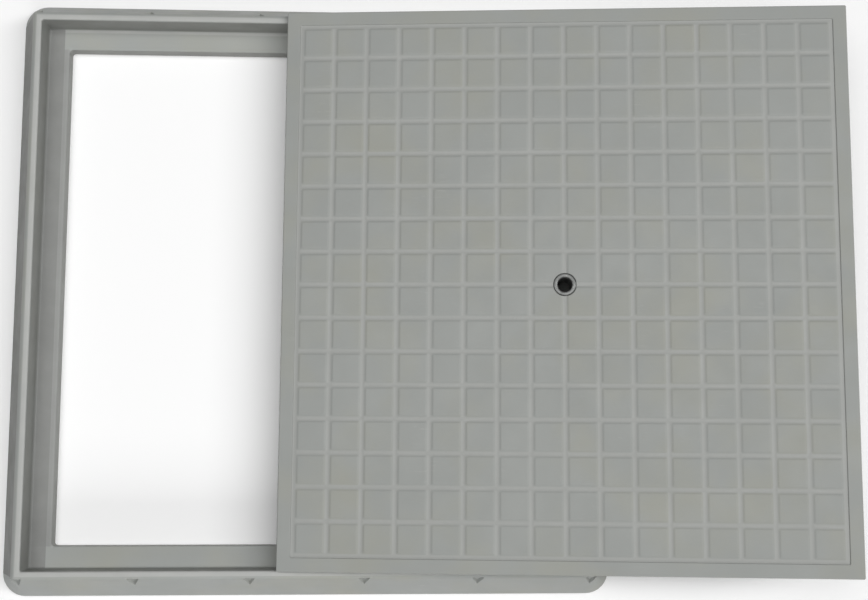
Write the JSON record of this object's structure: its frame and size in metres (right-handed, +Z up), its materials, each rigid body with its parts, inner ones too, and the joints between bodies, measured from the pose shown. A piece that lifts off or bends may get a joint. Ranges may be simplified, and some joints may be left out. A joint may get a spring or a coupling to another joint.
{
  "type": "manhole cover",
  "caption": "Square moulded-polymer access cover with a grooved grid top and a lifting hole, lying drawn aside on its hollow, sloping-skirted square frame.",
  "frame": {"origin": "centre of the clear opening, in the plane of the frame's foot", "axes": "+Z up out of the ground; +X the way the cover was drawn aside; +Y along the frame's notched faces' normal"},
  "size_m": [0.6869, 0.5, 0.0918],
  "materials": {
    "frame_plastic": "moulded light grey polypropylene, dull, handling marks",
    "cover_plastic": "moulded light grey polypropylene, fine spark texture on the pads",
    "bush_steel": "turned and zinc plated steel"
  },
  "bodies": {
    "frame": {"frame": "frame_plastic"},
    "cover": {"cover": "cover_plastic", "lifting_bush": "bush_steel"}
  },
  "joints": [
    {"name": "cover_lift", "type": "slide", "parent": "frame", "child": "cover", "axis": [0, 0, 1], "range_m": [0, 0.3]}
  ]
}
